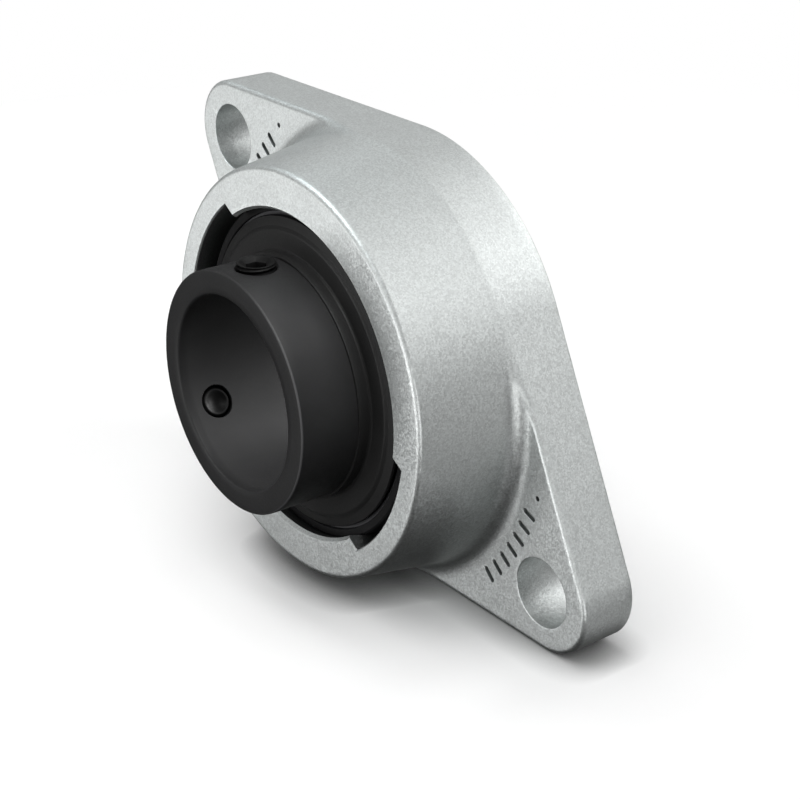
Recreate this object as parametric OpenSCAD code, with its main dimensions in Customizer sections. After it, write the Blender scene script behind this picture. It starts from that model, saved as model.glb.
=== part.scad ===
// Oval two-bolt flange mount bearing.
// A cast housing with a spherical seat holds a self-aligning ball bearing insert
// whose inner ring is extended on both sides and locked to the shaft by two set screws.
// Origin: centre of the flat mounting face, on the shaft axis.
// +Z runs along the shaft axis, out of the hub. +X points to one bolt hole.
// Front parts lie on the +Z side of the sphere centre, rear parts on the -Z side.
// All lengths are in millimetres.

/* [Housing] */
// Height of the hub face above the mounting face
hub_h = 43; // [42:0.25:44]
// Thickness of the flange at the bolt holes
flange_t = 15.8; // [14:0.1:17]
// Distance between the two bolt holes
bolt_spacing = 157; // [155:0.5:159]
// Diameter of each bolt hole
bolt_d = 18; // [14:0.5:19]
// Width of the flange across its middle
flange_w = 114.8; // [114:0.2:116]
// Length of the flange from end to end
flange_l = 189; // [187:0.5:192]
// Radius of each rounded flange end
end_r = 14.5; // [13.5:0.25:16]
// Diameter of the hub where its wall would meet its face in a sharp corner
hub_face_d = 106.8; // [106:0.2:108]
// Draft angle of the hub wall, in degrees
hub_draft = 9; // [8.6:0.1:9.4]
// Fillet between the hub and the flange
hub_fillet = 5; // [4:0.25:5.5]
// Rounding of the hub rim
rim_round = 1.2; // [0.6:0.1:2]
// Radial width of the bevel at the mouth of the seat
mouth_bevel = 1.1; // [0.4:0.1:1.6]
// Diameter of the opening behind the seat
rear_bore_d = 84; // [80:0.5:86]
// Width of each filling slot
slot_w = 35; // [30:0.5:38]
// Radius of the filling slots
slot_r = 46.84; // [45.8:0.02:48]
// Depth of the marking bars and dots in the flange face
mark_depth = 0.5; // [0.2:0.1:1]

/* [Bearing insert] */
// Diameter of the spherical outer ring
sphere_d = 90; // [90:0.01:90.02]
// Height of the sphere centre above the mounting face
seat_z = 28; // [27:0.25:29]
// Width of the outer ring
outer_w = 22; // [21.5:0.1:22.4]
// Diameter of the inner shoulders of the outer ring
outer_shoulder_d = 78; // [77:0.2:79]
// Diameter of the seal seats in the outer ring
seal_seat_d = 82.8; // [82:0.2:83]
// Shaft bore diameter
shaft_d = 50; // [49.5:0.05:50.5]
// Outer diameter of the inner ring
inner_od = 62.5; // [62:0.1:63]
// Width of the inner ring
inner_w = 51.6; // [50:0.1:53]
// Distance from the sphere centre to the locking end of the inner ring
lock_side = 32.6; // [31:0.1:34]
// Bevel at the bore edges of the inner ring
bore_bevel = 0.5; // [0.3:0.05:0.8]

/* [Balls and cage] */
// Number of balls; each ball is a node of its own
ball_n = 10; // [10:1:10]
// Ball diameter
ball_d = 12.7; // [12.6:0.05:12.7]
// Pitch circle diameter of the balls
pitch_d = 70; // [69.9:0.05:70.1]
// Radial play between a ball and each raceway
race_play = 0.02; // [0.02:0.01:0.05]
// Raceway groove radius
groove_r = 6.6; // [6.55:0.01:6.7]
// Thickness of the cage sheet
cage_t = 0.8; // [0.6:0.05:0.9]
// Radial width of the cage ribbon
cage_w = 5.2; // [4.6:0.1:5.6]
// Play between a ball and its cage pocket
pocket_play = 0.1; // [0.05:0.01:0.15]

/* [Seals and flingers] */
// Sheet thickness of the flingers
flinger_t = 0.8; // [0.5:0.05:0.9]
// Outer diameter of the flingers
flinger_d = 81.2; // [80:0.1:81.6]
// Diameter at which a flinger bends towards the outer ring
flinger_bend_d = 74.4; // [72:0.2:76]
// Distance from the sphere centre to the end of a flinger collar
collar_h = 16.4; // [15.5:0.1:17]
// Thickness of the seal plates
seal_t = 1.0; // [0.8:0.05:1.2]

/* [Set screws] */
// Height of the set screws above the mounting face
screw_z = 51.7; // [50.5:0.1:52]
// Angle of the first set screw about the shaft axis, in degrees
screw_a_angle = 122; // [115:1:130]
// Angle between the two set screws, in degrees
screw_spread = 120; // [60:5:130]
// Diameter of the set screw holes
screw_hole_d = 10.12; // [10.08:0.01:10.3]
// Diameter of the lip left at the bore end of each set screw hole
screw_lip_d = 8.6; // [8.5:0.05:9]
// Thickness of that lip
screw_lip_t = 0.6; // [0.4:0.05:0.7]
// Diameter over the set screw thread crests
screw_d = 10; // [9.6:0.01:10.02]
// Length of a set screw
screw_l = 7.25; // [6:0.05:8]
// Recess of the cup point below the bore surface
tip_recess = 0.35; // [0.35:0.05:0.6]
// Width across flats of the hexagon socket
socket_af = 5; // [4:0.5:5]

/* [Hidden] */

$fn = 96;
over = 1; // how far a cutter runs past the face it opens

// Housing
flange_r = flange_w / 2;
end_x = flange_l / 2 - end_r;
bolt_x = bolt_spacing / 2;
sphere_r = sphere_d / 2;
seat_r = sphere_r + 0.03;
mouth_r = sqrt(pow(seat_r, 2) - pow(hub_h - seat_z, 2)) + mouth_bevel;
rear_bore_top = seat_z - 13;

// Rings
half_w = outer_w / 2;
shoulder_r = outer_shoulder_d / 2;
inner_r = inner_od / 2;
bore_r = shaft_d / 2;
inner_top = seat_z + lock_side;
inner_bottom = inner_top - inner_w;

// Balls; each groove bottom clears the balls by race_play
pitch_r = pitch_d / 2;
ball_r = ball_d / 2;
ball_step = 360 / ball_n;
outer_groove_x = pitch_r + ball_r + race_play - groove_r;
inner_groove_x = pitch_r - ball_r - race_play + groove_r;

// Cage
cage_lift = 0.02; // from the ball plane to each cage half
rivet_hole_r = 0.9;

// Seals, with heights from the sphere centre
seal_seat_r = seal_seat_d / 2;
seal_step_z = 8.2; // step of the outer ring
seal_web_z = seal_step_z + 0.3; // inward face of the flat web
seal_web_r = inner_r + 1.6; // inner edge of the web

cage_color = [0.7, 0.66, 0.55];
plate_color = [0.25, 0.25, 0.26];
lip_color = [0.1, 0.1, 0.1];
flinger_color = [0.16, 0.16, 0.17];
screw_color = [0.14, 0.14, 0.15];

// Points of an arc about [x, y], from one angle to another in equal steps.
function arc(x, y, radius, from, to, steps) =
    [for (i = [0:steps])
        let (angle = from + (to - from) * i / steps)
        [x + radius * cos(angle), y + radius * sin(angle)]];

// Places a part drawn with the sphere centre at z = 0, on either side of that centre.
module front_side() {
    translate([0, 0, seat_z]) children();
}
module rear_side() {
    translate([0, 0, seat_z]) mirror([0, 0, 1]) children();
}

// ---- Housing -------------------------------------------------------------

// Flange outline: a centre circle and two end circles joined by their common tangents.
// The straight edges lie slightly inside the tangents so that each arc meets them cleanly.
module flange_outline() {
    inset = 0.002;
    angle = acos((flange_r - end_r) / end_x);
    mid_x = (flange_r - inset) * cos(angle);
    mid_y = (flange_r - inset) * sin(angle);
    tip_x = end_x + (end_r - inset) * cos(angle);
    tip_y = (end_r - inset) * sin(angle);
    circle(r = flange_r, $fn = 180);
    for (side = [-1, 1])
        translate([side * end_x, 0]) circle(r = end_r, $fn = 96);
    polygon([[mid_x, mid_y], [tip_x, tip_y], [tip_x, -tip_y], [mid_x, -mid_y],
             [-mid_x, -mid_y], [-tip_x, -tip_y], [-tip_x, tip_y], [-mid_x, tip_y + mid_y - tip_y]]);
}

// Hub section: drafted wall, rounded rim, and a fillet that ends just below the flange face.
module hub_section() {
    base_z = 1;
    fillet_sink = 0.02;
    face_r = hub_face_d / 2;
    // Fillet centre; the drafted wall runs through the sharp rim corner (face_r, hub_h)
    fillet_z = flange_t - fillet_sink + hub_fillet;
    fillet_x = face_r + (hub_h - fillet_z) * tan(hub_draft) + hub_fillet / cos(hub_draft);
    // Centre of the rim rounding, tangent to the face and to the wall
    rim_z = hub_h - rim_round;
    rim_x = face_r + rim_round * tan(hub_draft) - rim_round / cos(hub_draft);
    polygon(concat(
        [[0, base_z], [fillet_x, base_z]],
        arc(fillet_x, fillet_z, hub_fillet, from = 270, to = 180 + hub_draft, steps = 10),
        arc(rim_x, rim_z, rim_round, from = hub_draft, to = 90, steps = 6),
        [[0, hub_h]]));
}

// Rounded pair of recesses in the hub wall, from the sphere centre to the hub face.
module filling_slots() {
    span = 120;
    intersection() {
        translate([0, 0, seat_z]) cylinder(r = slot_r, h = hub_h, $fn = 180);
        translate([-span / 2, -slot_w / 2, seat_z - over]) cube([span, slot_w, hub_h]);
    }
}

// Bolt hole with 45 degree bevels at both faces.
module bolt_hole() {
    top_bevel = 0.4;
    bottom_bevel = 0.5;
    bottom_over = 0.6;
    bottom_h = bottom_bevel + bottom_over;
    translate([0, 0, -over]) cylinder(d = bolt_d, h = flange_t + 2 * over, $fn = 72);
    translate([0, 0, flange_t - top_bevel])
        cylinder(d1 = bolt_d, d2 = bolt_d + 4 * top_bevel, h = 2 * top_bevel, $fn = 72);
    translate([0, 0, -bottom_over])
        cylinder(d1 = bolt_d + 2 * bottom_h, d2 = bolt_d, h = bottom_h, $fn = 72);
}

// Row of plain bars on an arc about the shaft axis, sunk into the flange face.
// end_angle is 0 for the +X end and 180 for the -X end.
module mark_bars(end_angle) {
    bar_step = 4;
    bar_start_r = 63;
    bar_l = 4.6;
    bar_w = 1.5;
    for (i = [-3:3])
        rotate([0, 0, end_angle + i * bar_step])
            translate([bar_start_r, -bar_w / 2, flange_t - mark_depth])
                cube([bar_l, bar_w, mark_depth + over]);
}

module mark_dot(side) {
    dot_x = 63.3;
    dot_y = 19.7;
    translate([side * dot_x, dot_y, flange_t - mark_depth])
        cylinder(r = 0.9, h = mark_depth + over, $fn = 32);
}

module housing() {
    mouth_cut = 3; // depth of the mouth cone below the hub face
    color([0.78, 0.79, 0.79])
    difference() {
        union() {
            linear_extrude(height = flange_t) flange_outline();
            intersection() {
                rotate_extrude($fn = 180) hub_section();
                linear_extrude(height = hub_h + over) flange_outline();
            }
        }
        // Spherical seat
        translate([0, 0, seat_z]) sphere(r = seat_r, $fn = 180);
        // Opening behind the seat
        translate([0, 0, -over]) cylinder(d = rear_bore_d, h = over + rear_bore_top, $fn = 180);
        // Mouth with a 45 degree bevel
        translate([0, 0, hub_h - mouth_cut])
            cylinder(r1 = mouth_r - mouth_cut, r2 = mouth_r + over, h = mouth_cut + over, $fn = 180);
        filling_slots();
        for (side = [-1, 1])
            translate([side * bolt_x, 0, 0]) bolt_hole();
        mark_bars(0);
        mark_bars(180);
        mark_dot(1);
        mark_dot(-1);
    }
}

// ---- Rings ---------------------------------------------------------------

module outer_ring() {
    bevel_in = 1.85; // start of the 45 degree edge bevel, inside the sphere radius
    bevel_out = 3; // its end, beyond the sphere radius
    bevel_h = bevel_in + bevel_out;
    step_over = 2; // overrun of the seal seat cutters
    color([0.2, 0.2, 0.21])
    translate([0, 0, seat_z])
    rotate_extrude($fn = 180)
    difference() {
        intersection() {
            circle(r = sphere_r, $fn = 180);
            polygon([[shoulder_r, -half_w],
                     [sphere_r - bevel_in, -half_w], [sphere_r + bevel_out, -half_w + bevel_h],
                     [sphere_r + bevel_out, half_w - bevel_h], [sphere_r - bevel_in, half_w],
                     [shoulder_r, half_w]]);
        }
        // Ball groove
        translate([outer_groove_x, 0]) circle(r = groove_r, $fn = 96);
        // Seal seats
        for (side = [-1, 1])
            translate([shoulder_r - step_over, side > 0 ? seal_step_z : -half_w - step_over])
                square([seal_seat_r - shoulder_r + step_over, half_w + step_over - seal_step_z]);
    }
}

// Cutter for one set screw hole, along +X.
module screw_hole_cut() {
    lip_reach = 4; // to each side of the bore surface
    sink_depth = 0.75;
    sink_h = 2;
    rotate([0, 90, 0]) {
        translate([0, 0, bore_r - lip_reach]) cylinder(d = screw_lip_d, h = 2 * lip_reach, $fn = 64);
        translate([0, 0, bore_r + screw_lip_t]) cylinder(d = screw_hole_d, h = 12, $fn = 64);
        translate([0, 0, inner_r - sink_depth])
            cylinder(d1 = screw_hole_d, d2 = screw_hole_d + 2 * sink_h, h = sink_h, $fn = 64);
    }
}

module inner_ring() {
    rim_bevel = 0.3; // at the outer edges
    color([0.19, 0.19, 0.2])
    difference() {
        rotate_extrude($fn = 180)
        difference() {
            polygon([[bore_r, inner_bottom + bore_bevel], [bore_r + bore_bevel, inner_bottom],
                     [inner_r - rim_bevel, inner_bottom], [inner_r, inner_bottom + rim_bevel],
                     [inner_r, inner_top - rim_bevel], [inner_r - rim_bevel, inner_top],
                     [bore_r + bore_bevel, inner_top], [bore_r, inner_top - bore_bevel]]);
            // Ball groove
            translate([inner_groove_x, seat_z]) circle(r = groove_r, $fn = 96);
        }
        for (angle = [screw_a_angle, screw_a_angle + screw_spread])
            translate([0, 0, screw_z]) rotate([0, 0, angle]) screw_hole_cut();
    }
}

// ---- Balls and cage ------------------------------------------------------

// Balls are numbered from 1, starting on the +X axis.
module ball(number) {
    color([0.82, 0.83, 0.85])
    rotate([0, 0, (number - 1) * ball_step])
        translate([pitch_r, 0, seat_z]) sphere(r = ball_r, $fn = 64);
}

// One half of the two-piece pressed cage, on the +Z side of the sphere centre:
// a spherical strip arched over each ball, joined by flat bars that take the rivets.
module cage_half() {
    pocket_r = ball_r + pocket_play;
    shell_r = pocket_r + cage_t;
    end_angle = 0.17; // trimmed from each end of an arch
    hole_r = 1; // opening at the radial axis of each pocket
    bar_l = 10.4;
    bar_shift = 0.15;
    bar_play = 0.15; // between a bar end and the pocket surface
    for (i = [0:ball_n - 1]) rotate([0, 0, i * ball_step])
        translate([pitch_r, 0, 0]) rotate([90, 0, 90]) rotate([0, 0, end_angle])
            rotate_extrude(angle = 180 - 2 * end_angle, $fn = 96)
                intersection() {
                    difference() {
                        circle(r = shell_r, $fn = 96);
                        circle(r = pocket_r, $fn = 96);
                    }
                    translate([hole_r, -cage_w / 2]) square([shell_r, cage_w]);
                }
    for (i = [0:ball_n - 1]) rotate([0, 0, (i + 0.5) * ball_step])
        difference() {
            translate([pitch_r + bar_shift - cage_w / 2, -bar_l / 2, cage_lift])
                cube([cage_w, bar_l, cage_t]);
            for (side = [-0.5, 0.5]) rotate([0, 0, side * ball_step])
                translate([pitch_r, 0, 0]) sphere(r = pocket_r + bar_play, $fn = 64);
            translate([pitch_r, 0, -over]) cylinder(r = rivet_hole_r, h = 4, $fn = 24);
        }
}

module cage_front() {
    color(cage_color) front_side() cage_half();
}
module cage_rear() {
    color(cage_color) rear_side() cage_half();
}

// Rivets through both cage halves, midway between the balls.
module cage_rivets() {
    head_z = cage_t + cage_lift;
    // Head profile from the shank to the crown: [radius, height above the cage sheet]
    head = [[rivet_hole_r - 0.02, 0], [1.6, 0], [1.5, 0.35], [0.9, 0.75], [0, 0.8]];
    last = len(head) - 1;
    color([0.75, 0.72, 0.62])
    for (i = [0:ball_n - 1]) rotate([0, 0, (i + 0.5) * ball_step])
        translate([pitch_r, 0, seat_z])
            rotate_extrude($fn = 24)
                polygon(concat(
                    [for (k = [last:-1:0]) [head[k][0], -head_z - head[k][1]]],
                    [for (point = head) [point[0], head_z + point[1]]]));
}

// ---- Seals and flingers --------------------------------------------------
// Profiles are [radius, distance from the sphere centre].

// Steel plate of the seal: flat washer with a turned rim pressed into the outer ring.
module seal_plate() {
    rim_top = seal_step_z + 2.0;
    rotate_extrude($fn = 144)
        polygon([[seal_web_r, seal_web_z], [shoulder_r + 0.6, seal_web_z],
                 [shoulder_r + 0.9, seal_step_z], [seal_seat_r, seal_step_z],
                 [seal_seat_r, rim_top], [seal_seat_r - seal_t, rim_top],
                 [seal_seat_r - seal_t, seal_web_z + seal_t], [seal_web_r, seal_web_z + seal_t]]);
}

// Rubber lip moulded on the inner edge of the plate, just clear of the inner ring.
module seal_lip() {
    lip_r = inner_r + 0.06;
    web_top = seal_web_z + seal_t;
    rotate_extrude($fn = 144)
        polygon([[lip_r, seal_web_z + 0.05], [lip_r + 0.5, seal_web_z - 0.15],
                 [seal_web_r, seal_web_z], [seal_web_r, web_top],
                 [seal_web_r - 0.5, web_top + 0.15], [lip_r + 0.55, web_top + 0.45],
                 [lip_r, web_top + 0.75], [lip_r, web_top + 0.45],
                 [lip_r + 0.45, seal_web_z + 0.7]]);
}

module seal_plate_front() {
    color(plate_color) front_side() seal_plate();
}
module seal_plate_rear() {
    color(plate_color) rear_side() seal_plate();
}
module seal_lip_front() {
    color(lip_color) front_side() seal_lip();
}
module seal_lip_rear() {
    color(lip_color) rear_side() seal_lip();
}

// Flinger: collar on the inner ring, flat web, and a rim bent towards the outer ring.
module flinger() {
    web_top = 13.0;
    web_bottom = web_top - flinger_t;
    rim_drop = 1.15;
    rim_top = web_top - rim_drop;
    bend_r = flinger_bend_d / 2;
    rim_r = flinger_d / 2;
    collar_r = inner_r + 0.01;
    collar_tip_r = collar_r + flinger_t * 0.8;
    rotate_extrude($fn = 180)
        polygon([[collar_r, web_bottom + 0.35], [collar_r + 0.35, web_bottom],
                 [bend_r - 0.05, web_bottom], [rim_r, web_bottom - rim_drop],
                 [rim_r, rim_top - 0.1], [rim_r - 0.1, rim_top + 0.04], [bend_r, web_top],
                 [collar_r + flinger_t + 0.5, web_top], [collar_r + flinger_t, web_top + 0.5],
                 [collar_tip_r, collar_h - 0.1], [collar_tip_r - 0.1, collar_h],
                 [collar_r, collar_h]]);
}

module flinger_front() {
    color(flinger_color) front_side() flinger();
}
module flinger_rear() {
    color(flinger_color) rear_side() flinger();
}

// ---- Set screws ----------------------------------------------------------

// Cup-point set screw along +X, its point towards the shaft, its hexagon socket outwards.
// The thread is a stack of plain ring grooves.
module set_screw() {
    crest_r = screw_d / 2;
    root_r = crest_r - 0.6;
    tip = bore_r + tip_recess;
    head = tip + screw_l;
    thread_pitch = 1.25;
    thread_start = tip + 1.6;
    thread_n = floor((screw_l - 2.1) / thread_pitch);
    socket_depth = 3.5;
    bevel_depth = 0.35; // of the socket mouth
    bevel_r = socket_af / 2 + 0.05;
    translate([0, 0, screw_z]) rotate([0, 90, 0])
    difference() {
        rotate_extrude($fn = 64)
            polygon(concat(
                [[0, tip + 1.2], [3.1, tip], [3.5, tip], [crest_r, tip + 1.5]],
                [for (i = [0:thread_n - 1])
                    let (start = thread_start + thread_pitch * i)
                    each [[crest_r, start], [crest_r, start + 0.2],
                          [root_r, start + 0.6], [root_r, start + 0.8]]],
                [[crest_r, head - 0.6], [crest_r - 0.55, head], [0, head]]));
        translate([0, 0, head - socket_depth])
            cylinder(d = socket_af / cos(30), h = socket_depth + over, $fn = 6);
        translate([0, 0, head - bevel_depth])
            cylinder(r1 = bevel_r, r2 = bevel_r + 2 * bevel_depth, h = 2 * bevel_depth, $fn = 48);
    }
}

module set_screw_a() {
    color(screw_color) rotate([0, 0, screw_a_angle]) set_screw();
}
module set_screw_b() {
    color(screw_color) rotate([0, 0, screw_a_angle + screw_spread]) set_screw();
}

// ---- Assembly ------------------------------------------------------------

housing();
outer_ring();
inner_ring();
ball(1);  // ball_01
ball(2);  // ball_02
ball(3);  // ball_03
ball(4);  // ball_04
ball(5);  // ball_05
ball(6);  // ball_06
ball(7);  // ball_07
ball(8);  // ball_08
ball(9);  // ball_09
ball(10);  // ball_10
cage_front();
cage_rear();
cage_rivets();
seal_plate_front();
seal_plate_rear();
seal_lip_front();
seal_lip_rear();
flinger_front();
flinger_rear();
set_screw_a();
set_screw_b();
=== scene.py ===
"""Two-bolt flanged bearing unit: zinc-coated casting, black bearing insert, two set screws.

The shaft axis is Z, the flange's back face lies at z = 0 and the hub rises to the front, +Z.
The two bolt holes lie on the X axis. Shapes are worked out in millimetres and stored in metres.
"""

import math

import bmesh
import bpy
import numpy as np
from mathutils import Matrix, Vector


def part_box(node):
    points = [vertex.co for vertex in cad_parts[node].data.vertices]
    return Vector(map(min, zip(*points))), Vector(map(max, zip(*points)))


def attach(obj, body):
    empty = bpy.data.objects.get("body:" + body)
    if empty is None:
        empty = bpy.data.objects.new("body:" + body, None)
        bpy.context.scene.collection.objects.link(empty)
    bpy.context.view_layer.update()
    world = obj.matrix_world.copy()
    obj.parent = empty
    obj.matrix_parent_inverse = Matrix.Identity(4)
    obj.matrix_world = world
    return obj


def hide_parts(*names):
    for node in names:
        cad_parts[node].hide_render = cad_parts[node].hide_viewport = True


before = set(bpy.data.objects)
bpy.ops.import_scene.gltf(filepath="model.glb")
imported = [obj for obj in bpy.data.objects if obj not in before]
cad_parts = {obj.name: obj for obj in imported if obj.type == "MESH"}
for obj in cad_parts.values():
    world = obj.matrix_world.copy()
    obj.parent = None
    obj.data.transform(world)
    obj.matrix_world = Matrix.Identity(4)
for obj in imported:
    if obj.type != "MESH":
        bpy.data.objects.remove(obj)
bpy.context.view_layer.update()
MM = 0.001


def mm_box(node):
    """Low and high corners of a CAD node, in millimetres."""
    lo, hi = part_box(node)
    return np.array(lo) / MM, np.array(hi) / MM


# ---------------------------------------------------------------------------
# Sizes (millimetres)
# ---------------------------------------------------------------------------
_, housing_hi = mm_box("housing")
inner_lo, inner_hi = mm_box("inner_ring")
outer_lo, outer_hi = mm_box("outer_ring")

# Heights taken from the CAD nodes
HUB_H = float(housing_hi[2])
SEAT_Z = float((outer_lo[2] + outer_hi[2]) / 2)     # centre of the spherical seat
HALF_W = float((outer_hi[2] - outer_lo[2]) / 2)     # half the outer ring's width
INNER_Z0, INNER_Z1 = float(inner_lo[2]), float(inner_hi[2])

# Flange outline: a centre circle and two end circles, joined by tangents
FLANGE_T = 15.8
CENTRE_R = 57.4
END_R = 14.5
END_X = round(float(housing_hi[0]), 1) - END_R
if abs(END_X - 80) < 0.2:       # snap to the nominal place
    END_X = 80.0
TANGENT_ANGLE = math.acos((CENTRE_R - END_R) / END_X)   # from +X to the tangent's normal
TANGENT_LEN = math.sqrt(END_X**2 - (CENTRE_R - END_R) ** 2)
OUTLINE_STEP = 0.6
FRONT_ROUND = 1.4       # rounding of the flange's front edge
BACK_ROUND = 0.7        # rounding of its back edge
BOLT_X, BOLT_R = 78.5, 9.0

# Hub: a drafted cone with a rounded rim and a fillet at the foot
RIM_R, RIM_ROUND, FILLET = 53.4, 1.5, 5.0
DRAFT = math.radians(9.0)
MOUTH_R, MOUTH_Z = 43.52, 42.2      # top of the bore's bevel, and height of its foot
SEAT_R, REAR_R = 45.03, 42.0        # spherical seat, bore behind it
BACK_RING_R = REAR_R + 5.0          # end of the evenly divided part of the back face
SLOT_W, SLOT_R = 35.0, 46.84

# Bearing insert
BORE_R, INNER_R = 25.0, 31.25
PITCH_R, BALL_R, CLEARANCE, GROOVE_R = 35, 6.35, 0.02, 6.6
SCREW_DEG, SCREW_Z, SCREW_L = (122.0, 242.0), 51.7, 7.25

PROFILE_STEP = 2.5      # longest face along a turned profile
SOLID_DEG, CUT_DEG, SCREW_SHARP_DEG = 35.0, 33.0, 38.0      # sharp-edge angles


# ---------------------------------------------------------------------------
# Mesh helpers
# ---------------------------------------------------------------------------
def shade(ob, sharp_deg):
    for polygon in ob.data.polygons:
        polygon.use_smooth = True
    ob.data.set_sharp_from_angle(angle=math.radians(sharp_deg))


def new_solid(name, verts, faces, sharp_deg=SOLID_DEG):
    """Mesh object from millimetre points, with its normals turned outwards."""
    mesh = bpy.data.meshes.new(name)
    mesh.from_pydata([tuple(v) for v in np.asarray(verts, float) * MM], [], faces)
    mesh.validate()
    mesh.update()
    ob = bpy.data.objects.new(name, mesh)
    bpy.context.scene.collection.objects.link(ob)
    # smooth before the bmesh pass, so that the pass drops the flat-face attribute
    for polygon in mesh.polygons:
        polygon.use_smooth = True
    bm = bmesh.new()
    bm.from_mesh(mesh)
    bmesh.ops.recalc_face_normals(bm, faces=bm.faces)
    bm.to_mesh(mesh)
    bm.free()
    mesh.update()
    shade(ob, sharp_deg)
    return ob


def closed_grid(name, columns):
    """Ring-shaped solid from a grid of points that closes on itself both ways."""
    count, length = columns.shape[:2]
    faces = []
    for i in range(count):
        a = i * length
        b = ((i + 1) % count) * length
        for j in range(length):
            k = (j + 1) % length
            faces.append((a + j, b + j, b + k, a + k))
    return new_solid(name, columns.reshape(-1, 3), faces)


def revolve(name, profile, segments):
    """Ring from a closed profile of (r, z) points that stays off the axis."""
    points = np.array(subdivide(profile, PROFILE_STEP))
    columns = np.zeros((segments, len(points), 3))
    for i in range(segments):
        angle = 2 * math.pi * i / segments
        columns[i, :, 0] = points[:, 0] * math.cos(angle)
        columns[i, :, 1] = points[:, 0] * math.sin(angle)
        columns[i, :, 2] = points[:, 1]
    return closed_grid(name, columns)


def loft(name, rings, sharp_deg=SOLID_DEG):
    """Solid through rings of equal point counts, closed with flat caps."""
    n = len(rings[0])
    faces = []
    for i in range(len(rings) - 1):
        for j in range(n):
            k = (j + 1) % n
            faces.append((i * n + j, i * n + k, (i + 1) * n + k, (i + 1) * n + j))
    faces.append(tuple(reversed(range(n))))
    faces.append(tuple(range((len(rings) - 1) * n, len(rings) * n)))
    return new_solid(name, np.array(rings).reshape(-1, 3), faces, sharp_deg)


def arc(centre_r, centre_z, radius, start, end, n):
    """Points of an arc in the (r, z) half plane, angles in degrees."""
    angles = [math.radians(start + (end - start) * i / n) for i in range(n + 1)]
    return [(centre_r + radius * math.cos(a), centre_z + radius * math.sin(a)) for a in angles]


def subdivide(profile, step):
    """Adds points along the straight runs of a closed profile, so that faces stay short."""
    points = []
    for i in range(len(profile)):
        start, end = np.array(profile[i]), np.array(profile[(i + 1) % len(profile)])
        parts = max(1, int(math.ceil(np.linalg.norm(end - start) / step)))
        points += [tuple(start + (end - start) * j / parts) for j in range(parts)]
    return points


def ellipse(centre_x, centre_y, radius_x, radius_y, z, n):
    """Level ring of n points."""
    return [(centre_x + radius_x * math.cos(a), centre_y + radius_y * math.sin(a), z)
            for a in np.linspace(0, 2 * math.pi, n, endpoint=False)]


def lay_on_radius(points, deg):
    """Turns points built along Z onto the set screw's axis, a radius at the given angle."""
    points = np.array(points)
    angle = math.radians(deg)
    outward = np.array([math.cos(angle), math.sin(angle), 0.0])
    around = np.array([-math.sin(angle), math.cos(angle), 0.0])
    up = np.array([0.0, 0.0, 1.0])
    laid = points[..., 2:3] * outward + points[..., 0:1] * around + points[..., 1:2] * up
    laid[..., 2] += SCREW_Z
    return laid


def subtract(ob, cutters):
    """Cuts all the cutters from ob in one go and removes them."""
    bm = bmesh.new()
    for cutter in cutters:
        bm.from_mesh(cutter.data)
    mesh = bpy.data.meshes.new("cutters")
    bm.to_mesh(mesh)
    bm.free()
    for cutter in cutters:
        bpy.data.objects.remove(cutter)
    joined = bpy.data.objects.new("cutters", mesh)
    bpy.context.scene.collection.objects.link(joined)

    boolean = ob.modifiers.new("cut", "BOOLEAN")
    boolean.operation = "DIFFERENCE"
    boolean.solver = "EXACT"
    boolean.object = joined
    depsgraph = bpy.context.evaluated_depsgraph_get()
    result = bpy.data.meshes.new_from_object(ob.evaluated_get(depsgraph))
    ob.modifiers.clear()
    uncut = ob.data
    ob.data = result
    bpy.data.meshes.remove(uncut)
    bpy.data.objects.remove(joined)
    shade(ob, CUT_DEG)


# ---------------------------------------------------------------------------
# Housing: one closed section per ray from the shaft axis, running over the hub, fillet,
# flange, edge, back face and seat. The holes, filling slots and marks are cut afterwards.
# ---------------------------------------------------------------------------
RIM_ARC_Z = HUB_H - RIM_ROUND
RIM_ARC_R = RIM_R + RIM_ROUND * math.tan(DRAFT) - RIM_ROUND / math.cos(DRAFT)
FILLET_ARC_Z = FLANGE_T + FILLET
FILLET_ARC_R = RIM_R + (HUB_H - FILLET_ARC_Z) * math.tan(DRAFT) + FILLET / math.cos(DRAFT)
CONE_TOP_R = RIM_ARC_R + RIM_ROUND * math.cos(DRAFT)
CONE_TOP_Z = RIM_ARC_Z + RIM_ROUND * math.sin(DRAFT)
CONE_FOOT_R = FILLET_ARC_R - FILLET * math.cos(DRAFT)
CONE_FOOT_Z = FILLET_ARC_Z - FILLET * math.sin(DRAFT)


def outline_distance(x, y):
    """Distance from inside points to the flange outline."""
    x, y = np.abs(x), np.abs(y)
    normal_x, normal_y = math.cos(TANGENT_ANGLE), math.sin(TANGENT_ANGLE)
    along = (x - CENTRE_R * normal_x) * normal_y - (y - CENTRE_R * normal_y) * normal_x
    centre = CENTRE_R - np.hypot(x, y)
    tangent = CENTRE_R - (x * normal_x + y * normal_y)
    end = END_R - np.hypot(x - END_X, y)
    return np.where(along < 0, centre, np.where(along > TANGENT_LEN, end, tangent))


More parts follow.
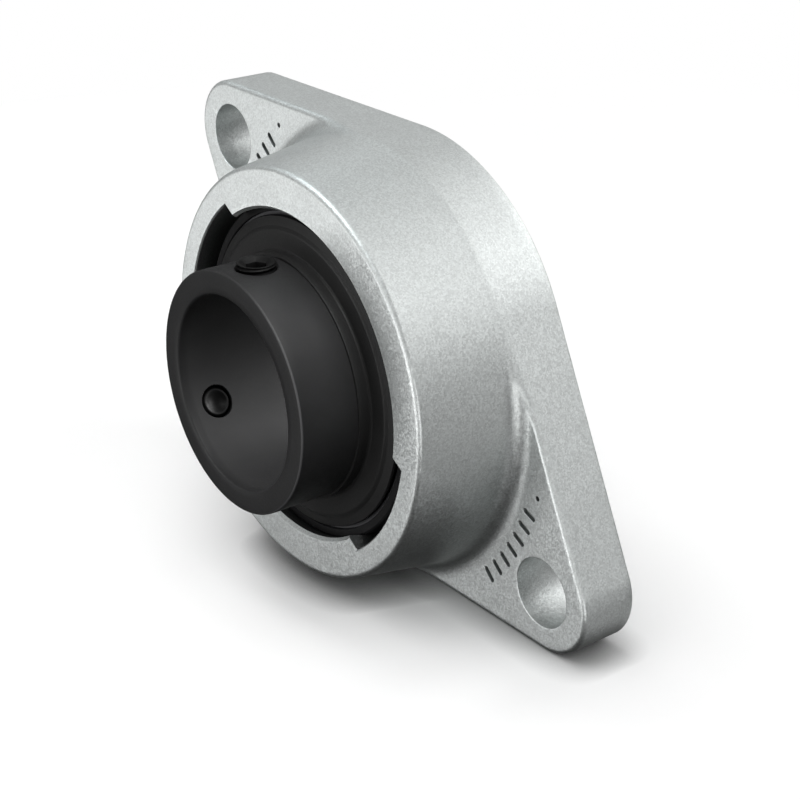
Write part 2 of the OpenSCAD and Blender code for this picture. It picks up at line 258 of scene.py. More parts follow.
def outline_points():
    """Points round the flange outline at about equal spacing, starting at +X."""
    cos_t, sin_t = math.cos(TANGENT_ANGLE), math.sin(TANGENT_ANGLE)
    quarter = []
    n = max(2, int(END_R * TANGENT_ANGLE / OUTLINE_STEP))
    for i in range(n):
        angle = TANGENT_ANGLE * i / n
        quarter.append((END_X + END_R * math.cos(angle), END_R * math.sin(angle)))
    n = max(2, int(TANGENT_LEN / OUTLINE_STEP))
    for i in range(n):
        along = TANGENT_LEN * i / n
        quarter.append((END_X + END_R * cos_t - sin_t * along, END_R * sin_t + cos_t * along))
    n = max(2, int(CENTRE_R * (math.pi / 2 - TANGENT_ANGLE) / OUTLINE_STEP))
    for i in range(n):
        angle = TANGENT_ANGLE + (math.pi / 2 - TANGENT_ANGLE) * i / n
        quarter.append((CENTRE_R * math.cos(angle), CENTRE_R * math.sin(angle)))
    half = quarter + [(0.0, CENTRE_R)] + [(-x, y) for x, y in reversed(quarter[1:])]
    return half + [(-END_X - END_R, 0.0)] + [(x, -y) for x, y in reversed(half[1:])]


def outline_normal(x, y):
    """Outward normal at an outline point of the first quarter."""
    if x > END_X + END_R * math.cos(TANGENT_ANGLE) - 1e-9:
        return (x - END_X) / END_R, y / END_R
    if math.atan2(y, x) < TANGENT_ANGLE:
        return math.cos(TANGENT_ANGLE), math.sin(TANGENT_ANGLE)
    return x / CENTRE_R, y / CENTRE_R


def hub_height(r):
    """Height of the casting's front surface at radius r, before the edge rounding."""
    rim = RIM_ARC_Z + np.sqrt(np.maximum(RIM_ROUND**2 - (r - RIM_ARC_R) ** 2, 0))
    cone = CONE_TOP_Z + ((CONE_FOOT_Z - CONE_TOP_Z) * (r - CONE_TOP_R)
                         / (CONE_FOOT_R - CONE_TOP_R))
    fillet = FILLET_ARC_Z - np.sqrt(np.maximum(FILLET**2 - (r - FILLET_ARC_R) ** 2, 0))
    return np.select([r <= RIM_ARC_R, r <= CONE_TOP_R, r <= CONE_FOOT_R, r < FILLET_ARC_R],
                     [HUB_H, rim, cone, fillet], FLANGE_T)


def front_section(reach, ray_x, ray_y):
    """(r, z) points from the mouth to the outline, closer together where the surface turns."""
    points, spacing, turn_step = 74, 1.7, math.radians(7.5)
    edge_band = 3.0     # finely sampled strip inside the outline
    # fine samples along the ray, dense at the rim and the outline
    r = np.concatenate([
        np.linspace(MOUTH_R, RIM_ARC_R, 14, endpoint=False),
        RIM_ARC_R + (CONE_TOP_R - RIM_ARC_R) * np.sin(np.linspace(0, 1, 60) * math.pi / 2),
        np.linspace(CONE_TOP_R, reach - edge_band, 700)[1:],
        reach - edge_band * (1 - np.sin(np.linspace(0, 1, 200) * math.pi / 2))[1:],
    ])
    r = np.unique(np.clip(r, MOUTH_R, reach))
    inset = np.clip(outline_distance(r * ray_x, r * ray_y), 0, FRONT_ROUND)
    rounding = np.sqrt(np.maximum(FRONT_ROUND**2 - (FRONT_ROUND - inset) ** 2, 0))
    z = hub_height(r) - (FRONT_ROUND - rounding)
    dr, dz = np.diff(r), np.diff(z)
    angle = np.arctan2(dz, dr)
    turn = np.abs(np.diff(angle, prepend=angle[0]))
    measure = np.cumsum(np.hypot(dr, dz) / spacing + turn / turn_step)
    measure = np.concatenate([[0], measure])
    even = np.linspace(0, measure[-1], points)
    return list(zip(np.interp(even, measure, r), np.interp(even, measure, z)))


def bore_section():
    """(r, z) points from the back face's inner bevel, up the bore and seat, to the mouth."""
    bevel = 0.6
    seat_foot = SEAT_Z - math.sqrt(SEAT_R**2 - REAR_R**2)
    start, end = (math.degrees(math.asin((z - SEAT_Z) / SEAT_R)) for z in (seat_foot, MOUTH_Z))
    section = [(REAR_R + bevel, 0.0), (REAR_R, bevel), (REAR_R, 4.0), (REAR_R, 8.0)]
    return section + arc(0, SEAT_Z, SEAT_R, start, end, 26)


def casting_blank():
    back_arc = arc(-BACK_ROUND, BACK_ROUND, BACK_ROUND, 0, -90, 5)  # (outwards, up)
    bore = bore_section()
    columns = []
    for edge_x, edge_y in outline_points():
        reach = math.hypot(edge_x, edge_y)
        ray_x, ray_y = edge_x / reach, edge_y / reach
        section = front_section(reach, ray_x, ray_y)
        top = section[-1][1]
        section += [(reach, BACK_ROUND + (top - BACK_ROUND) * s) for s in np.linspace(1, 0, 7)[1:]]
        # the back rounding is measured along the outline's normal, so stretch it to the ray
        x, y = abs(edge_x), abs(edge_y)
        normal_x, normal_y = outline_normal(x, y)
        slant = max(0.3, normal_x * x / reach + normal_y * y / reach)
        section += [(reach + outwards / slant, up) for outwards, up in back_arc[1:]]
        face_r = reach - BACK_ROUND / slant
        section += [(face_r + (BACK_RING_R - face_r) * s, 0.0) for s in np.linspace(0, 1, 8)[1:]]
        section = np.array(section + bore)
        r, z = section[:, 0], section[:, 1]
        columns.append(np.stack([r * ray_x, r * ray_y, z], 1))
    return closed_grid("housing_casting", np.array(columns))


def bolt_cutters():
    """Bolt holes with a rounded front edge and a small bevel at the back."""
    flare, bevel, overshoot = 0.3, 0.5, 1.0
    profile = [(BOLT_R + bevel, -overshoot), (BOLT_R + bevel, 0.0), (BOLT_R, bevel),
               (BOLT_R, FLANGE_T - flare)]
    profile += arc(BOLT_R + flare, FLANGE_T - flare, flare, 180, 90, 7)[1:]
    profile += [(BOLT_R + flare, FLANGE_T + overshoot)]
    return [loft("cut_bolt", [ellipse(side * BOLT_X, 0, r, r, z, 96) for r, z in profile])
            for side in (-1, 1)]


def slot_cutters():
    """Filling slots on the X axis, with a slightly broken edge at the mouth."""
    inside_x = 38.0     # within the open bore
    broken, overshoot = 0.35, 1.0
    levels = ((SEAT_Z, 0.0), (HUB_H - broken, 0.0), (HUB_H, broken),
              (HUB_H + overshoot, broken + overshoot))      # height, widening
    cutters = []
    for side in (-1, 1):
        rings = []
        for z, widening in levels:
            half_w = SLOT_W / 2 + widening
            radius = SLOT_R + widening
            half_angle = math.asin(half_w / radius)
            ring = [(inside_x, -half_w)]
            ring += [(radius * math.cos(a), radius * math.sin(a))
                     for a in np.linspace(-half_angle, half_angle, 33)]
            ring += [(inside_x, half_w)]
            rings.append([(side * x, y, z) for x, y in ring])
        cutters.append(loft("cut_slot", rings))
    return cutters


def bar_ring(angle, z, widening):
    """Round-ended radial bar outline."""
    start = 63.1 - widening
    end = 67.5 + widening
    half_w = 0.72 + widening
    quarter = math.pi / 2
    ring = [(end - half_w + half_w * math.cos(a), half_w * math.sin(a))
            for a in np.linspace(-quarter, quarter, 9)]
    ring += [(start + half_w - half_w * math.cos(a), half_w * math.sin(a))
             for a in np.linspace(quarter, -quarter, 9)]
    return [(x * math.cos(angle) - y * math.sin(angle),
             x * math.sin(angle) + y * math.cos(angle), z) for x, y in ring]


def mark_cutters():
    """Plain sunk bars on an arc and one dot, at both ends of the flange's front face."""
    depth, bar_pitch_deg = 0.95, 4
    dot_x, dot_y = 63.3, 19.7
    # height from the flange face, widening
    bar_levels = ((-depth, 0.0), (-0.1, 0.03), (0, 0.12), (0.6, 0.7))
    dot_levels = ((-depth, 0.0), (-0.12, 0.06), (0, 0.2), (0.6, 0.8))
    cutters = []
    for side, side_deg in ((1, 0), (-1, 180)):
        for k in range(-3, 4):
            angle = math.radians(side_deg + k * bar_pitch_deg)
            rings = [bar_ring(angle, FLANGE_T + z, widening) for z, widening in bar_levels]
            cutters.append(loft("cut_bar", rings))
        rings = [ellipse(side * dot_x, dot_y, 0.55 + widening, 0.6 + widening, FLANGE_T + z, 24)
                 for z, widening in dot_levels]
        cutters.append(loft("cut_dot", rings))
    return cutters


def build_housing():
    ob = casting_blank()
    subtract(ob, bolt_cutters() + slot_cutters() + mark_cutters())
    return ob


# ---------------------------------------------------------------------------
# Bearing insert
# ---------------------------------------------------------------------------
def screw_hole_cutter(deg):
    hole_r, lip_r = 5.06, 4.3       # the lip narrows the hole just outside the bore
    stations = (        # distance from the shaft axis, radius
        (BORE_R - 3, lip_r + 0.15), (BORE_R - 0.2, lip_r + 0.15), (BORE_R + 0.1, lip_r),
        (BORE_R + 0.6, lip_r), (BORE_R + 0.61, hole_r), (INNER_R - 0.62, hole_r),
        (INNER_R - 0.56, hole_r + 0.03), (INNER_R - 0.02, hole_r + 0.5),
        (INNER_R + 0.3, hole_r + 0.8), (INNER_R + 3, hole_r + 0.85),
    )
    rings = [ellipse(0, 0, radius, radius, distance, 96) for distance, radius in stations]
    return loft("cut_screw", lay_on_radius(rings, deg))


def build_inner_ring():
    bevel, edge_round = 0.5, 0.35       # at the bore, at the outside
    flat, steep = 0.06, 0.14            # softening of the bevel's corners
    groove_centre = PITCH_R - BALL_R - CLEARANCE + GROOVE_R
    half = math.degrees(math.acos((groove_centre - INNER_R) / GROOVE_R))
    profile = [(BORE_R, INNER_Z0 + bevel), (BORE_R + flat, INNER_Z0 + bevel - steep),
               (BORE_R + bevel - steep, INNER_Z0 + flat), (BORE_R + bevel, INNER_Z0)]
    profile += arc(INNER_R - edge_round, INNER_Z0 + edge_round, edge_round, -90, 0, 5)
    profile += arc(groove_centre, SEAT_Z, GROOVE_R, 180 + half, 180 - half, 28)
    profile += arc(INNER_R - edge_round, INNER_Z1 - edge_round, edge_round, 0, 90, 5)
    profile += [(BORE_R + bevel, INNER_Z1), (BORE_R + bevel - steep, INNER_Z1 - flat),
                (BORE_R + flat, INNER_Z1 - bevel + steep), (BORE_R, INNER_Z1 - bevel)]
    ob = revolve("inner_ring_body", profile, 384)
    subtract(ob, [screw_hole_cutter(deg) for deg in SCREW_DEG])
    return ob


def build_outer_ring():
    sphere_r, shoulder_r = 45.0, 39.0
    step_r, step_z = 41.4, 8.2          # recess at both faces
    bevel, corner = 0.4, 0.15
    groove_centre = PITCH_R + BALL_R + CLEARANCE - GROOVE_R
    half = math.degrees(math.acos((shoulder_r - groove_centre) / GROOVE_R))
    edge_deg = math.degrees(math.asin((HALF_W - bevel) / sphere_r))
    edge_r = math.sqrt(sphere_r**2 - (HALF_W - bevel) ** 2)
    # heights are from the ring's middle
    profile = [(step_r, -HALF_W + corner), (step_r + corner, -HALF_W),
               (edge_r - bevel * 1.1, -HALF_W), (edge_r - 0.12, -HALF_W + bevel * 0.7)]
    profile += arc(0, 0, sphere_r, -edge_deg, edge_deg, 30)
    profile += [(edge_r - 0.12, HALF_W - bevel * 0.7), (edge_r - bevel * 1.1, HALF_W),
                (step_r + corner, HALF_W), (step_r, HALF_W - corner), (step_r, step_z),
                (shoulder_r + corner, step_z), (shoulder_r, step_z - corner)]
    profile += arc(groove_centre, 0, GROOVE_R, half, -half, 24)
    profile += [(shoulder_r, -step_z + corner), (shoulder_r + corner, -step_z),
                (step_r, -step_z)]
    return revolve("outer_ring_body", [(r, z + SEAT_Z) for r, z in profile], 320)


def build_flinger(name, side):
    """Sheet disc with a collar, a web, a joggle and a rim; side is 1 in front, -1 behind."""
    # heights are from the ring's middle, outwards
    sheet, web_z, web_r, rim_r = 0.8, 13.0, 37.2, 40.6
    collar_r, collar_top = INNER_R + 0.01, 16.4
    collar_t = sheet * 0.8
    drop = 1.15                                     # from the web to the rim
    joggle_deg, joggle_drop = 34.0, 0.62
    collar_round, collar_bend, joggle_top, joggle_foot, tip_round = 0.15, 0.7, 1.2, 0.5, 0.2

    # outward face from the collar to the joggle
    profile = [(collar_r, collar_top), (collar_r + collar_t - collar_round, collar_top)]
    profile += arc(collar_r + collar_t - collar_round, collar_top - collar_round,
                   collar_round, 90, 0, 3)[1:]
    profile += arc(collar_r + collar_t + collar_bend, web_z + collar_bend, collar_bend,
                   180, 270, 8)
    joggle_r = web_r - 0.1
    setback = joggle_top * math.tan(math.radians(joggle_deg / 2))
    profile += arc(joggle_r - setback, web_z - joggle_top, joggle_top, 90, 90 - joggle_deg, 6)
    # joggle foot, then the gently falling rim
    foot_r = joggle_r + joggle_drop / math.tan(math.radians(joggle_deg))
    fall_deg = math.degrees(math.atan((drop - joggle_drop) / (rim_r - foot_r)))
    fall = math.radians(fall_deg)
    setback = joggle_foot * math.tan(math.radians((joggle_deg - fall_deg) / 2))
    foot_centre_r = foot_r + setback * math.cos(fall) + joggle_foot * math.sin(fall)
    foot_centre_z = (web_z - joggle_drop - setback * math.sin(fall)
                     + joggle_foot * math.cos(fall))
    profile += arc(foot_centre_r, foot_centre_z, joggle_foot, 270 - joggle_deg,
                   270 - fall_deg, 5)
    # rim edge, then back along the inward face
    tip_inset = 0.28
    tip_centre_r = rim_r - tip_inset - math.sin(fall) * tip_round
    tip_centre_z = web_z - drop + tip_inset * math.tan(fall) - math.cos(fall) * tip_round
    profile += arc(tip_centre_r, tip_centre_z, tip_round, 90 - fall_deg, 0, 4)
    profile += [(rim_r, web_z - drop - sheet + 0.35)]
    profile += arc(rim_r - tip_round, web_z - drop - sheet + 0.22, tip_round,
                   0, -90 - fall_deg, 4)
    profile += [(web_r - 0.05, web_z - sheet), (collar_r + 0.4, web_z - sheet),
                (collar_r, web_z - sheet + 0.35)]
    return revolve(name, [(r, SEAT_Z + side * z) for r, z in profile], 320)


def build_screw(name, deg):
    """Cup-point set screw with a cut thread and a hexagon socket, built along Z."""
    points = 96
    crest_r, root_r, pitch = 5.0, 4.36, 1.25
    tip = BORE_R + 0.35
    head = tip + SCREW_L
    dish_r, dish_depth = 3.0, 1.15
    point_r, point_z = 3.5, tip + 0.06      # where the point's cone starts
    head_bevel = 0.22
    mouth_r, mouth_depth = 4.12, 0.06
    across_flats, sink_depth, flats_depth = 5.0, 1.0, 2.4
    angles = np.linspace(0, 2 * math.pi, points, endpoint=False)
    rings = []

    def ring(z, radius):
        rings.append(np.stack([radius * np.cos(angles), radius * np.sin(angles),
                               np.full(points, z)], 1))

    # cup point: a shallow dish inside a narrow rim
    for radius in np.linspace(0.05, dish_r, 10):
        ring(tip + 0.04 + dish_depth * (1 - (radius / dish_r) ** 2), radius)
    ring(tip, 3.12)
    ring(tip, 3.38)
    ring(point_z, point_r)
    # threaded body between the point's cone and the head bevel
    for z in np.arange(tip + 0.14, head - 0.1, 0.075):
        phase = (z / pitch - angles / (2 * math.pi)) % 1.0
        from_root = np.abs(phase * 2 - 1)       # 0 at the root's middle, 1 at the crest's
        thread = root_r + (crest_r - root_r) * np.clip((from_root - 0.12) / 0.72, 0, 1)
        cone = point_r + (z - point_z)
        bevel = crest_r - head_bevel + (head - z)
        ring(z, np.minimum(np.minimum(thread, cone), bevel))
    ring(head - 0.03, crest_r - head_bevel)
    ring(head, crest_r - 0.3)
    # hexagon socket with a countersunk mouth
    hexagon_angle = np.mod(angles + math.pi / 6, math.pi / 3) - math.pi / 6
    hexagon = across_flats / 2 / np.cos(hexagon_angle)
    ring(head, 4.25)
    ring(head - mouth_depth, mouth_r)
    for s in (0.3, 0.65, 1.0):
        ring(head - mouth_depth - sink_depth * s, mouth_r + (hexagon - mouth_r) * s)
    for s in (0.33, 0.67, 1.0):
        ring(head - (mouth_depth + sink_depth) - flats_depth * s, hexagon)
    ring(head - 3.5, hexagon * 0.92)
    ring(head - 4.1, 0.05)
    return loft(name, lay_on_radius(rings, deg), SCREW_SHARP_DEG)


housing = build_housing()
PIECES = (      # object, CAD node it replaces, body it rides, material slot
    (housing, "housing", "housing", "housing_casting"),
    (build_inner_ring(), "inner_ring", "inner_ring", "ring_black"),
    (build_outer_ring(), "outer_ring", "outer_ring", "ring_black"),
    (build_flinger("flinger_front_disc", 1), "flinger_front", "inner_ring", "flinger_black"),
    (build_flinger("flinger_rear_disc", -1), "flinger_rear", "inner_ring", "flinger_black"),
    (build_screw("set_screw_a_body", SCREW_DEG[0]), "set_screw_a", "set_screw_a", "screw_black"),
    (build_screw("set_screw_b_body", SCREW_DEG[1]), "set_screw_b", "set_screw_b", "screw_black"),
)
for piece, node, body, slot in PIECES:
    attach(piece, body)
    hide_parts(node)


# ---------------------------------------------------------------------------
# Materials (lengths in metres)
# ---------------------------------------------------------------------------
def add_node(tree, kind, inputs=None, **props):
    """Adds a node; each input is given a value, or a socket to link from."""
    node = tree.nodes.new(kind)
    for key, value in props.items():
        setattr(node, key, value)
    for key, value in (inputs or {}).items():
        if isinstance(value, bpy.types.NodeSocket):
            tree.links.new(value, node.inputs[key])
        else:
            node.inputs[key].default_value = value
    return node


def rgba(color):
    return tuple(color) + (1.0,)


class Shader:
    """A material under construction; its methods return output sockets."""

    def __init__(self, name, **settings):
        self.material = bpy.data.materials.new(name)
        self.material.use_nodes = True
        self.tree = self.material.node_tree
        self.tree.nodes.clear()
        self.output = self.add("ShaderNodeOutputMaterial")
        self.bsdf = self.add("ShaderNodeBsdfPrincipled")
        for key, value in settings.items():
            self.bsdf.inputs[key.replace("_", " ")].default_value = value
        self.surface(self.bsdf.outputs["BSDF"])
        self.place = self.add("ShaderNodeTexCoord").outputs["Object"]

    def add(self, kind, inputs=None, **props):
        return add_node(self.tree, kind, inputs, **props)

    def surface(self, socket):
        self.tree.links.new(socket, self.output.inputs["Surface"])

    def feed(self, key, socket):
        """Links a socket to an input of the Principled shader."""
        self.tree.links.new(socket, self.bsdf.inputs[key])

    def noise(self, scale, detail=2.0, roughness=0.5, output="Fac"):
        return self.add("ShaderNodeTexNoise", {
            "Scale": scale, "Detail": detail, "Roughness": roughness, "Vector": self.place,
        }).outputs[output]

    def ramp(self, factor, start, end, low, high):
        """Colour low up to start, high from end on."""
        node = self.add("ShaderNodeValToRGB", {"Fac": factor})
        for element, position, color in zip(node.color_ramp.elements, (start, end), (low, high)):
            element.position = position
            element.color = rgba(color)
        return node.outputs["Color"]

    def math(self, operation, *values):
        node = self.add("ShaderNodeMath", dict(enumerate(values)), operation=operation)
        return node.outputs["Value"]

    def vector(self, operation, *values, output="Vector"):
        node = self.add("ShaderNodeVectorMath", dict(enumerate(values)), operation=operation)
        return node.outputs[output]

    def mix(self, factor, a, b):
        """Mix of two colours; inputs 6 and 7 and output 2 are the node's colour sockets."""
        node = self.add("ShaderNodeMix", {0: factor, 6: a, 7: b},
                        data_type="RGBA", blend_type="MIX")
        return node.outputs[2]

    def map_range(self, value, from_min, from_max, to_min, to_max):
        return self.add("ShaderNodeMapRange", {
            "From Min": from_min, "From Max": from_max,
            "To Min": to_min, "To Max": to_max, "Value": value,
        }).outputs["Result"]

    def random_tilt(self, color, amount):
        """A random colour, centred on zero and scaled."""
        centred = self.vector("SUBTRACT", color, (0.5, 0.5, 0.5))
        return self.vector("MULTIPLY", centred, (amount, amount, amount))

    def openness(self, samples, distance, power):
        """1 in the open, falling towards 0 in gaps."""
        node = self.add("ShaderNodeAmbientOcclusion", {"Distance": distance}, samples=samples)
        return self.math("POWER", node.outputs["AO"], power)

    def grained(self, grain, rough_low, rough_high, strength, distance):
        """Lets the grain drive the roughness and a fine bump."""
        self.feed("Roughness", self.map_range(grain, 0.3, 0.7, rough_low, rough_high))
        bump = self.add("ShaderNodeBump",
                        {"Strength": strength, "Distance": distance, "Height": grain})
        self.feed("Normal", bump.outputs["Normal"])


def casting_material():
    """Zinc-coated casting: pale silver crystals, each tilted a little, so that they sparkle."""
    s = Shader("zinc_coated_casting", Metallic=1.0)
    crystal = s.add("ShaderNodeTexVoronoi", {"Scale": 2700, "Vector": s.place}).outputs["Color"]
    swell = s.noise(scale=1500, roughness=0.6, output="Color")
    fine = s.noise(scale=5200, detail=1.0)
    blotch = s.noise(scale=110, detail=3.0, roughness=0.55)
    tone = s.ramp(blotch, 0.35, 0.65, low=(0.572, 0.595, 0.589), high=(0.585, 0.609, 0.603))
    value = s.add("ShaderNodeSeparateColor", {"Color": crystal}).outputs["Green"]
    crystal_shade = s.map_range(value, 0.0, 1.0, to_min=0.88, to_max=1.12)
    # painted highlight: the colour is lighter along the convex outer edges, where they catch the
    # light
    geometry = s.add("ShaderNodeNewGeometry")
    edge_highlight = s.map_range(geometry.outputs["Pointiness"], 0.515, 0.56, to_min=1.0, to_max=1.14)
    brightness = s.math("MULTIPLY", crystal_shade, edge_highlight)
    tone = s.add("ShaderNodeVectorMath", {0: tone, "Scale": brightness},
                 operation="SCALE").outputs["Vector"]
    # painted shade: the colour darkens in recesses, creases and fillets, where shade falls
    openness = s.openness(samples=5, distance=0.0060, power=1.4)
    s.feed("Base Color", s.mix(openness, rgba((0.15, 0.155, 0.154)), tone))
    s.feed("Roughness", s.map_range(fine, 0.35, 0.65, to_min=0.40, to_max=0.45))
    # tilt of the crystals: one random vector each, plus a softer swell between them
    tilt = s.random_tilt(crystal, amount=0.085)
    swing = s.random_tilt(swell, amount=0.06)
    both = s.vector("ADD", tilt, swing)
    tilted = s.vector("ADD", geometry.outputs["Normal"], both)
    s.feed("Normal", s.vector("NORMALIZE", tilted))
    return s.material


def painted_edge_highlight(s, color, radius, height, strength):
    """Painted highlight: lightens the colour along an edge circle (mm) where the edge catches the
    light.
    """
    flat = s.vector("MULTIPLY", s.place, (1.0, 1.0, 0.0))
    r = s.vector("LENGTH", flat, output="Value")
    z = s.add("ShaderNodeSeparateXYZ", {"Vector": s.place}).outputs["Z"]
    dr = s.math("SUBTRACT", r, radius * MM)
    dz = s.math("SUBTRACT", z, height * MM)
    squared = s.math("ADD", s.math("MULTIPLY", dr, dr), s.math("MULTIPLY", dz, dz))
    distance = s.math("SQRT", squared)
    highlight_band = s.map_range(distance, 0.00015, 0.00042, to_min=strength, to_max=0.0)
    # painted highlight, brighter on the side that faces the light than on the other
    unit = s.vector("NORMALIZE", flat)
    toward_light = s.vector("DOT_PRODUCT", unit, (0.87, 0.50, 0.0), output="Value")
    side = s.map_range(toward_light, 0.2, 0.95, to_min=0.22, to_max=1.0)
    # the lighter grey is the painted highlight's colour
    return s.mix(s.math("MULTIPLY", highlight_band, side), color, rgba((0.17, 0.17, 0.175)))


def black_steel(name, base, rough=0.5, metallic=0.0, grain=1800, bump=0.1, specular=0.3,
                edge_highlight=(), painted_shade_reach=0.0):
    """Black-treated steel: satin, with a fine etched grain and slight cloudiness.

    Edge circles, each (radius, height, strength), get a painted highlight; the shade
    reach is how far the painted shade spreads in sockets and gaps, 0 for none.
    """
    s = Shader(name, Metallic=metallic, Specular_IOR_Level=specular)
    fine = s.noise(grain, detail=3.0, roughness=0.6)
    cloud = s.noise(scale=90, detail=3.0, roughness=0.6)
    base = np.array(base)
    color = s.ramp(cloud, 0.3, 0.7, low=base * 0.9, high=base * 1.12)
    # painted highlights along the listed edge circles
    for radius, height, strength in edge_highlight:
        color = painted_edge_highlight(s, color, radius, height, strength)
    # painted shade: colour and reflection fall off towards black in sockets and gaps
    if painted_shade_reach:
        openness = s.openness(samples=6, distance=painted_shade_reach, power=2.0)
        color = s.mix(openness, rgba(base * 0.15), color)
        s.feed("Specular IOR Level", s.map_range(openness, 0.0, 1.0, 0.0, specular))
    s.feed("Base Color", color)
    s.grained(fine, rough - 0.06, rough + 0.06, strength=bump, distance=0.00005)
    return s.material


def bright_steel(name, base, rough, grain, bump):
    s = Shader(name, Metallic=1.0)
    fine = s.noise(grain)
    base = np.array(base)
    s.feed("Base Color", s.ramp(fine, 0.3, 0.7, low=base * 0.92, high=base))
    s.grained(fine, rough * 0.8, rough * 1.25, strength=bump, distance=0.00004)
    return s.material


def rubber(name):
    s = Shader(name)
    fine = s.noise(scale=2200)
    s.feed("Base Color", s.ramp(fine, 0.3, 0.7, low=(0.010, 0.010, 0.010),
                                high=(0.020, 0.020, 0.021)))
    s.grained(fine, 0.62, 0.78, strength=0.15, distance=0.00006)
    return s.material


def floor_material():
    s = Shader("pale_floor", Roughness=0.9, Specular_IOR_Level=0.1)
    grain = s.noise(scale=40)
    color = s.ramp(grain, 0.3, 0.7, low=(0.93, 0.93, 0.93), high=(0.94, 0.94, 0.94))
    # contact shadow
    openness = s.openness(samples=8, distance=0.0095, power=1.1)
    s.feed("Base Color", s.mix(openness, rgba((0.05, 0.05, 0.05)), color))
    # away from the object the floor runs out into plain white
    position = s.add("ShaderNodeNewGeometry").outputs["Position"]
    reach = s.vector("LENGTH", position, output="Value")
    far = s.map_range(reach, 0.24, 0.50, to_min=0.0, to_max=1.0)
    white = s.add("ShaderNodeEmission", {"Strength": 1.0}).outputs["Emission"]
    sweep = s.add("ShaderNodeMixShader", {"Fac": far, 1: s.bsdf.outputs["BSDF"], 2: white})
    # not seen from underneath, so that a view from below shows the object
    backfacing = s.add("ShaderNodeNewGeometry").outputs["Backfacing"]
    camera_ray = s.add("ShaderNodeLightPath").outputs["Is Camera Ray"]
    hidden = s.math("MULTIPLY", backfacing, camera_ray)
    clear = s.add("ShaderNodeBsdfTransparent").outputs["BSDF"]
    mix = s.add("ShaderNodeMixShader", {"Fac": hidden, 1: sweep.outputs["Shader"], 2: clear})
    s.surface(mix.outputs["Shader"])
    return s.material


def assign(ob, material):
    ob.data.materials.clear()
    ob.data.materials.append(material)


casting = casting_material()
# the inner ring's outer and bore edges get painted highlights
ring_black = black_steel("black_treated_ring", (0.020, 0.020, 0.0205),
                         edge_highlight=((INNER_R - 0.1, INNER_Z1 - 0.1, 0.40),
                               (BORE_R + 0.2, INNER_Z1 - 0.2, 0.16)))
outer_black = black_steel("black_treated_outer_ring", (0.009, 0.009, 0.0095), specular=0.18)
sheet_black = black_steel("black_treated_sheet", (0.018, 0.018, 0.018))
# the screws get painted shade in their sockets and gaps
screw_black = black_steel("black_oxide_screw", (0.010, 0.010, 0.010), rough=0.48, grain=1500,
                          bump=0.08, specular=0.15, painted_shade_reach=0.0035)
seal_plate = black_steel("phosphated_seal_plate", (0.10, 0.10, 0.105), metallic=0.8,
                         grain=2400, bump=0.15)
ball_steel = bright_steel("polished_ball", (0.62, 0.63, 0.65), rough=0.08, grain=400, bump=0.02)
cage_steel = bright_steel("pressed_cage_steel", (0.45, 0.43, 0.40), rough=0.34, grain=1500,
                          bump=0.15)
rivet_steel = bright_steel("rivet_steel", (0.52, 0.50, 0.47), rough=0.28, grain=1500, bump=0.12)
seal_rubber = rubber("nitrile_rubber")

NODE_MATERIALS = {      # the CAD nodes not named here are balls
    "housing": casting, "inner_ring": ring_black, "outer_ring": outer_black,
    "flinger_front": sheet_black, "flinger_rear": sheet_black,
    "set_screw_a": screw_black, "set_screw_b": screw_black,
    "cage_front": cage_steel, "cage_rear": cage_steel, "cage_rivets": rivet_steel,
    "seal_plate_front": seal_plate, "seal_plate_rear": seal_plate,
    "seal_lip_front": seal_rubber, "seal_lip_rear": seal_rubber,
}
for piece, node, _, _ in PIECES:
    assign(piece, NODE_MATERIALS[node])
for name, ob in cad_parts.items():
    material = NODE_MATERIALS.get(name, ball_steel)
    if not ob.material_slots:
        ob.data.materials.append(material)
    for material_slot in ob.material_slots:
        material_slot.material = material

# ---------------------------------------------------------------------------
# Camera: its axes, and its place in millimetres
# ---------------------------------------------------------------------------
CAMERA_RIGHT = (0.5129794953784949, 0.31605197928193873, -0.7980997329364256)
CAMERA_UP = (-0.7626966610977644, 0.5944403618157569, -0.25482240755999913)
CAMERA_BACK = (0.39388556773706107, 0.7394266715748907, 0.5459875061685312)
CAMERA_PLACE = np.array([198.87244070364815, 343.16978879522696, 271.97896059392]) * MM

camera_data = bpy.data.cameras.new("camera")
camera = bpy.data.objects.new("camera", camera_data)
bpy.context.scene.collection.objects.link(camera)
camera.matrix_world = Matrix(
    [*zip(CAMERA_RIGHT, CAMERA_UP, CAMERA_BACK, CAMERA_PLACE), (0, 0, 0, 1)])
camera_data.sensor_width = 36.0
camera_data.lens = 81.71460765
camera_data.clip_start = 0.01
camera_data.clip_end = 20.0
bpy.context.scene.camera = camera

# ---------------------------------------------------------------------------
# Floor: the part stands on a straight edge of its flange
# ---------------------------------------------------------------------------
FLOOR_UP = np.array([-math.cos(TANGENT_ANGLE), math.sin(TANGENT_ANGLE), 0.0])
SHAFT = np.array([0.0, 0.0, 1.0])
ACROSS_SHAFT = np.cross(SHAFT, FLOOR_UP)    # in the floor
FLOOR_DROP = CENTRE_R * MM + 0.00002        # a hair below the flange
FLOOR_SIZE = 6.0


def build_floor():
    bpy.ops.mesh.primitive_plane_add(size=1)
    ob = bpy.context.active_object
    ob.name = "floor"
    turn = Matrix([*zip(ACROSS_SHAFT, SHAFT, FLOOR_UP, (0, 0, 0)), (0, 0, 0, 1)])
    shift = Matrix.Translation(Vector(-FLOOR_UP * FLOOR_DROP))
    ob.matrix_world = shift @ turn @ Matrix.Scale(FLOOR_SIZE, 4)
    # hidden from all but the camera, since the boxes below it light the object too
    for ray in ("diffuse", "glossy", "transmission", "shadow"):
        setattr(ob, "visible_" + ray, False)
    assign(ob, floor_material())
    return ob


floor = build_floor()


